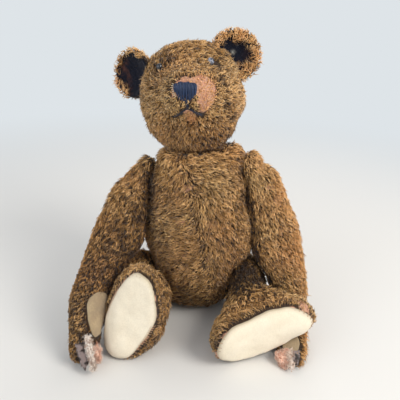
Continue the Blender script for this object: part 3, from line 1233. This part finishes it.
class BEAR_OT_face(bpy.types.Operator):
    """Stitch the nose and mouth and sew on the boot-button eyes"""
    bl_idname = "bear.face"
    bl_label = "Face"

    def execute(self, context):
        face = context.scene.bear_face
        across, up, forward = head_axes()
        nose = middle("nose_stitching")
        skin = surface(bpy.data.objects["head_skin"])
        nose_x = math.cos(NOSE_LEAN) * across + math.sin(NOSE_LEAN) * up
        nose_y = math.cos(NOSE_LEAN) * up - math.sin(NOSE_LEAN) * across

        def at(x, y):
            return nose + (x * across + y * up) * MM

        def on_nose(x, y):
            return at(-0.7, 1.0) + (x * nose_x + y * nose_y) * MM

        def laid(place, start, end, lift, count=8, arch=0.0):
            return laid_path(skin, place(*start), place(*end), -forward, lift, count, arch)

        satin = []
        for k in range(NOSE_ROWS):
            x = -8.3 + 16.6 * k / (NOSE_ROWS - 1)
            top, low = nose_edges(x)
            low = low if k not in (7, 9) else top + 0.56 * (low - top)
            sway = 0.25 * math.sin(2.3 * k)
            satin.append(laid(on_nose, (x, top + 0.35 * math.sin(5.1 * k)), (x * 0.93 + sway, low), 0.0006, 9,
                              0.0012))
            satin.append(laid(on_nose, (x + 0.6, top - 0.3), ((x + 0.6) * 0.93, low + 0.6), 0.0001, 9, 0.0008))
        satin += [laid(on_nose, (x, 4.2), (x * 0.5, -6.4), 0.0003, 9, 0.0005) for x in (-8.7, 8.9)]
        edging = [laid(on_nose, (-8.9 + 0.07 * k * k * 0.5, 5.2 - 1.35 * k),
                       (-10.9 + 0.04 * k * k, 5.2 - 1.35 * k + 0.3 - 0.15 * k), 0.0002, 4, 0.0003)
                  for k in range(8)]
        mouth = [laid(at, (-0.6 + aside, -6.5), (-0.6 + aside, -11.6), 0.0007, arch=0.0004)
                 for aside in (-0.5, 0.5)]
        mouth += [laid(at, (-0.4, -11.2 - drop * 0.6), (8.8, -18.2 - drop), 0.0013, 10) for drop in (0.0, 0.75)]
        mouth.append(laid(at, (1.4, -12.4), (8.2, -17.8), 0.0019))
        thin = laid(at, (-0.6, -11.2), (-12.4, -16.2), 0.0024, 12)
        mouth.append([(place, 0.9 - 0.035 * k) for k, (place, _) in enumerate(thin)])

        threads("nose_threads", "head", satin, 0.0013, thread_material("nose_thread", face.thread),
                "nose_stitching")
        threads("nose_edging_threads", "head", edging, 0.00075,
                thread_material("nose_edging", rgb(206, 188, 158), sheen=0.2, roughness=0.85), sides=5)
        threads("mouth_threads", "head", mouth, 0.0014,
                thread_material("mouth_thread", darker(face.thread, 0.4)), "mouth_stitching")
        for side, clouded in (("left", 1.0), ("right", 0.1)):
            self.button(side, clouded, face, forward)
        return {'FINISHED'}

    def button(self, side, clouded, face, forward):
        """A domed button with a rolled rim, worn cloudy on its face."""
        points = node_points(f"eye_{side}")
        reach = points @ forward
        front = points[reach > reach.max() - 0.0035]
        across, up, _ = head_axes()
        centre = front.mean(axis=0) - clouded * (0.0012 * across + 0.0018 * up)
        out = unit(0.35 * unit(centre - middle("head_cover")) + forward)
        size = MM * (0.78 + 0.17 * clouded)
        obj = mesh_object(f"button_{side}", [(r * size, 0, z * size) for r, z in BUTTON],
                          [(k, k + 1) for k in range(len(BUTTON) - 1)], [])
        obj = finished(obj, SCREW={"steps": 36, "render_steps": 36, "use_merge_vertices": True,
                                   "merge_threshold": 1e-6})
        obj.data.transform(Matrix.Translation(Vector(centre)) @ turned_to(out))
        obj.data.shade_smooth()
        t = Look(f"boot_button_{side}", Roughness=0.28, Specular_IOR_Level=0.6, Coat_Weight=0.35,
                 Coat_Roughness=0.15)
        haze = t.range(t.noise(520.0, 4.0), 0.38, 0.6, To_Max=clouded)
        scratch = t.add('ShaderNodeTexVoronoi', {"Vector": t.place(), "Scale": 900.0},
                        feature='DISTANCE_TO_EDGE').outputs["Distance"]
        worn = t.ramp(scratch, (0.0, [min(1, c * 1.7) for c in face.bloom]), (0.25, face.bloom))
        t.link(t.range(haze, 0.0, 1.0, To_Min=0.22, To_Max=0.55), t.shader.inputs["Roughness"])
        lacquer = t.painted(t.blend(haze, tuple(face.button), worn))
        belongs(obj, "head", "boot_button", f"eye_{side}", look=lacquer)


# ---------------------------------------------------------------- soles and paws

class BEAR_OT_soles(bpy.types.Operator):
    """Stitch the felt soles to the legs"""
    bl_idname = "bear.soles"
    bl_label = "Sole seams"

    def execute(self, context):
        count = context.scene.bear_felt.stitches
        tan = thread_material("sole_thread", rgb(176, 140, 108), sheen=0.2, roughness=0.8)
        for side in SIDES:
            centre, across, along, out = plate_frame(f"foot_pad_{side}", f"leg_cover_{side}")
            sole = bpy.data.objects[f"sole_{side}"]
            angles, reach = outline(mesh_points(sole)[0], centre, across, along, OUTLINE_BINS)
            cloth, pad = surface(bpy.data.objects[f"leg_{side}_skin"]), surface(sole)

            def landed(turn, radius, tree):
                guess = centre + radius * (math.cos(turn) * across + math.sin(turn) * along)
                place, _, _, _ = tree.ray_cast(Vector(guess + out * 0.03), Vector(-out), 0.042)
                return np.array(place) if place is not None else None

            paths = []
            for k in range(count):
                angle = 2 * math.pi * k / count
                far = float(np.interp(angle, angles, reach, period=2 * math.pi))
                inner = landed(angle, far - 0.0017, pad)
                outer = landed(angle + (0.022 + 0.004 * math.sin(7.3 * k)), far + 0.0011, cloth)
                if inner is None or outer is None:
                    continue
                top = (inner + outer) / 2 + out * 0.0006
                paths.append([(inner - out * 0.0004, 0.8), (inner + out * 0.0003, 1.0), (top, 1.0),
                              (outer + out * 0.0002, 1.0), (outer - out * 0.0005, 0.8)])
            threads(f"sole_seam_{side}", f"leg_{side}", paths, 0.0006, tan, sides=5)
        return {'FINISHED'}


class BEAR_OT_paws(bpy.types.Operator):
    """Pack the stuffing and lining that burst from the torn paws"""
    bl_idname = "bear.paws"
    bl_label = "Torn paws"

    def execute(self, context):
        rose = (rgb(206, 150, 122), rgb(250, 212, 190), rgb(255, 234, 220), rgb(255, 246, 238))
        cotton = (rgb(170, 138, 118), rgb(248, 232, 216), rgb(255, 246, 236), rgb(255, 252, 246))
        looks = {"cotton": self.wool_material("cotton_waste", cotton[2], cotton[0]),
                 "rose": self.wool_material("rose_waste", rose[1], rose[0]),
                 "mauve": self.wool_material("mauve_lining", rgb(136, 120, 116), rgb(40, 30, 26), 170.0, 0.42,
                                             0.52)}
        fluff = {"cotton": pile_material("cotton_fluff", cotton), "rose": pile_material("rose_fluff", rose)}
        tree = bpy.data.node_groups["combed_pile"]
        for number, side in enumerate(SIDES):
            body = f"arm_{side}"
            skin = bpy.data.objects[f"arm_{side}_skin"]
            for k, (kind, place, drop, width, length, swell) in enumerate(TEARS[side]):
                seed = k + 3 * number
                scrap, cut_area = self.scrap(f"paw_{kind}_{side}", skin, np.array(place) * MM, drop, width * MM,
                                             length * MM, swell * MM, seed)
                belongs(scrap, body, "wood_wool", look=looks[kind])
                if kind == "mauve":
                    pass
                else:
                    self.tease(scrap, seed, side)
                    fuzz = grow_pile(scrap, f"paw_{kind}_fluff_{side}", tree, body, "wood_wool",
                                     Strands_per_area=1.9e6, Length=0.0032, Width=0.0004, Lift=0.5, Tousle=0.8,
                                     Lock_size=0.002, Gather=0.4, Lock_stray=0.9, Lock_contrast=1.1,
                                     Lowest=GROUND, Seed=50 + seed, Strand_material=fluff[kind])
                    fuzz.data.name = fuzz.name
        for name in STRANDS:
            bpy.data.objects.remove(bpy.data.objects[name], do_unlink=True)
        return {'FINISHED'}

    def tease(self, scrap, seed, side):
        """Gives a scrap of stuffing the attributes that its loose fibres are grown by."""
        p, n = mesh_points(scrap)
        attributes(scrap, nap=flat(swirl(p, 0.004, 61 + seed) + 1e-3, n), pile=np.ones(len(p)),
                   reach=np.ones(len(p)), shade=np.clip(0.5 + 0.5 * ripple(p, 0.004, 62 + seed), 0, 1),
                   warm=np.full(len(p), 0.5 if side == "left" else 0.1))

    def scrap(self, name, skin, top, drop, width, length, swell, seed):
        """A torn scrap that hangs over the paw, with folds, a ragged end and a swollen middle, and its area."""
        tree = surface(skin)
        aside, down, out = tear_frame(*mesh_points(skin), top, drop)
        rows, columns = 21, 13
        v, u = np.meshgrid(np.linspace(0, 1, rows), np.linspace(-0.5, 0.5, columns), indexing="ij")
        ragged = (0.13 * np.sin(9.1 * u + 2.0 * seed) + 0.08 * np.sin(23 * u + seed)) * v * v
        narrow = 1 - 0.3 * v * v + 0.09 * np.sin(11 * v + seed) + 0.05 * np.sin(27 * v + 2 * seed)
        x, y = u * width * narrow, v * length * (1 + ragged)
        area = float(np.abs((x[1:, 1:] - x[:-1, :-1]) * (y[1:, :-1] - y[:-1, 1:])
                            - (x[1:, :-1] - x[:-1, 1:]) * (y[1:, 1:] - y[:-1, :-1])).sum() / 2)
        flat_points = top + x[..., None] * aside + y[..., None] * down
        sunk = np.full(u.shape, 0.003)
        for i, j in np.ndindex(u.shape):
            place = tree.ray_cast(Vector(flat_points[i, j] + out * 0.02), Vector(-out), 0.035)[0]
            if place is not None:
                sunk[i, j] = np.clip(np.dot(flat_points[i, j] - np.array(place), out), -0.006, 0.004)
        for _ in range(2):
            framed = np.pad(sunk, 1, mode="edge")
            sunk = (framed[1:-1, 1:-1] * 2 + framed[:-2, 1:-1] + framed[2:, 1:-1] + framed[1:-1, :-2]
                    + framed[1:-1, 2:]) / 6
        dome = (1 - (2 * u) ** 2) * (1 - (2 * v - 1) ** 4)
        grain = ripple(flat_points.reshape(-1, 3), 0.005, 71 + seed).reshape(u.shape)
        folds = 0.0007 * np.sin(15 * u + 3 * v + seed) + (0.0012 + 0.16 * swell) * grain
        points = flat_points + (0.0012 - sunk + swell * dome + folds * (0.3 + 0.7 * v))[..., None] * out
        points[..., 2] = np.maximum(points[..., 2], 0.0008)
        faces = [(i * columns + j, i * columns + j + 1, (i + 1) * columns + j + 1, (i + 1) * columns + j)
                 for i in range(rows - 1) for j in range(columns - 1)]
        obj = finished(mesh_object(name, points.reshape(-1, 3), [], faces),
                       SUBSURF={"levels": 1, "render_levels": 1}, SOLIDIFY={"thickness": 0.0008, "offset": 0})
        obj.data.shade_smooth()
        return obj, area

    def wool_material(self, name, light, dark, fineness=700.0, low=0.32, high=0.62):
        """Matted waste: pale fibres with dirt between them."""
        t = Look(name, Roughness=0.95, Sheen_Weight=0.3, Sheen_Roughness=0.6, Specular_IOR_Level=0.2)
        streak = t.noise(fineness, 4.0)
        t.bump(streak, 0.4, 0.0002)
        return t.painted(t.ramp(streak, (low, dark), (high, light)))


# ---------------------------------------------------------------- joint hardware

class BEAR_OT_joints(bpy.types.Operator):
    """Finish the card discs, washers and cotter pins"""
    bl_idname = "bear.joints"
    bl_label = "Joint hardware"

    def execute(self, context):
        cloth = context.scene.bear_cloth
        t = Look("disc_card", Roughness=0.9, Specular_IOR_Level=0.2)
        pulp = t.noise(800.0, 5.0)
        t.bump(pulp, 0.3, 0.0002)
        card = t.painted(t.ramp(pulp, (0.3, darker(cloth.card, 0.7)), (0.7, cloth.card)))
        t = Look("dull_steel", Metallic=1.0, Roughness=0.45)
        rust = t.noise(300.0, 5.0)
        t.link(t.ramp(rust, (0.4, 0.35), (0.75, 0.8)), t.shader.inputs["Roughness"])
        steel = t.painted(t.ramp(rust, (0.5, cloth.wire), (0.72, rgb(120, 78, 50))))
        for name, node in NODES.items():
            look = card if "_disc_" in name else steel if "_washer_" in name or name.endswith("_pin") else None
            if look:
                for slot in node.material_slots:
                    slot.material = look
        return {'FINISHED'}


# ---------------------------------------------------------------- stage

class BEAR_OT_stage(bpy.types.Operator):
    """Lay the pale floor and set the soft light and the camera"""
    bl_idname = "bear.stage"
    bl_label = "Stage"

    def execute(self, context):
        scene = context.scene
        stage = scene.bear_stage
        scene.view_settings.view_transform = 'Standard'
        bpy.ops.mesh.primitive_plane_add(size=40)
        floor = context.object
        floor.name = "floor"
        t = Look("pale_floor", Base_Color=tuple(stage.floor), Roughness=0.85, Specular_IOR_Level=0.2)
        away = t.add('ShaderNodeVectorMath', {0: t.place()}, operation='LENGTH').outputs["Value"]
        fade = t.add('ShaderNodeMapRange', {"Value": away, "From Min": 0.25, "From Max": 1.1},
                     interpolation_type='SMOOTHSTEP').outputs[0]
        glow = t.add('ShaderNodeEmission', {"Color": tuple(stage.backdrop)})
        self.mixed(t, t.math('MULTIPLY', fade, self.seen(t)), t.shader, glow, "Material Output")
        floor.data.materials.append(t.material)
        world = bpy.data.worlds.new("soft_sky")
        world.use_nodes = True
        scene.world = world
        t = Tree(world.node_tree)
        even = t.tree.nodes["Background"]
        even.inputs["Color"].default_value = (0.93, 0.96, 1.0, 1)
        even.inputs["Strength"].default_value = stage.sky
        shown = t.add('ShaderNodeBackground', {"Color": tuple(stage.backdrop), "Strength": 1.0})
        self.mixed(t, self.seen(t), even, shown, "World Output")
        self.lamp("key", (0.75, -0.55, 0.85), 0.55, stage.key, (1.0, 0.965, 0.91))
        self.lamp("fill", (-0.8, -0.6, 0.55), 0.8, stage.fill, (0.90, 0.95, 1.0))
        self.lamp("back", (0.2, 0.8, 0.8), 0.6, stage.fill * 0.8, (1.0, 0.98, 0.95))
        camera = bpy.data.cameras.new("camera")
        camera.lens = stage.lens
        camera.sensor_width = 36.0
        camera.clip_start = 0.01
        eye = new_object("camera", camera)
        down = math.radians(90) - stage.pitch
        eye.matrix_world = (Matrix.Translation(stage.camera) @ Matrix.Rotation(down, 4, 'X')
                            @ Matrix.Rotation(stage.roll, 4, 'Z'))
        scene.camera = eye
        return {'FINISHED'}

    def seen(self, t):
        """1 where the camera itself looks, and 0 for light that bounces."""
        return t.add('ShaderNodeLightPath').outputs["Is Camera Ray"]

    def mixed(self, t, share, first, second, output):
        """Leads two shaders, mixed, to a tree's output."""
        both = t.add('ShaderNodeMixShader', {0: share, 1: first.outputs[0], 2: second.outputs[0]})
        t.link(both.outputs[0], t.tree.nodes[output].inputs["Surface"])

    def lamp(self, name, place, size, power, colour):
        light = bpy.data.lights.new(name, 'AREA')
        light.size = size
        light.energy = power
        light.color = colour
        obj = new_object(name, light)
        aim = Vector((0, 0, 0.12)) - Vector(place)
        obj.matrix_world = Matrix.Translation(place) @ aim.to_track_quat('-Z', 'Y').to_matrix().to_4x4()


# ---------------------------------------------------------------- panel and run

STEPS = (BEAR_OT_covers, BEAR_OT_ears, BEAR_OT_pile, BEAR_OT_face, BEAR_OT_soles, BEAR_OT_paws, BEAR_OT_joints,
         BEAR_OT_stage)
SETTINGS = {"bear_pile": PileSettings, "bear_cloth": ClothSettings, "bear_felt": FeltSettings,
            "bear_face": FaceSettings, "bear_stage": StageSettings}


class BEAR_PT_panel(bpy.types.Panel):
    """Steps and settings of the bear"""
    bl_label = "Teddy Bear"
    bl_idname = "BEAR_PT_panel"
    bl_space_type = 'VIEW_3D'
    bl_region_type = 'UI'
    bl_category = "Teddy Bear"

    def draw(self, context):
        for step_class in STEPS:
            self.layout.operator(step_class.bl_idname)
        for name, group in SETTINGS.items():
            box = self.layout.box()
            box.label(text=group.__name__.replace("Settings", ""))
            for prop in group.__annotations__:
                box.prop(getattr(context.scene, name), prop)


def register():
    for cls in (*SETTINGS.values(), *STEPS, BEAR_PT_panel):
        bpy.utils.register_class(cls)
    for name, group in SETTINGS.items():
        setattr(bpy.types.Scene, name, bpy.props.PointerProperty(type=group))


def unregister():
    for name in SETTINGS:
        delattr(bpy.types.Scene, name)
    for cls in reversed((*SETTINGS.values(), *STEPS, BEAR_PT_panel)):
        bpy.utils.unregister_class(cls)


def main():
    register()
    for step_class in STEPS:
        group, _, name = step_class.bl_idname.partition(".")
        getattr(getattr(bpy.ops, group), name)()


if __name__ == "__main__":
    main()
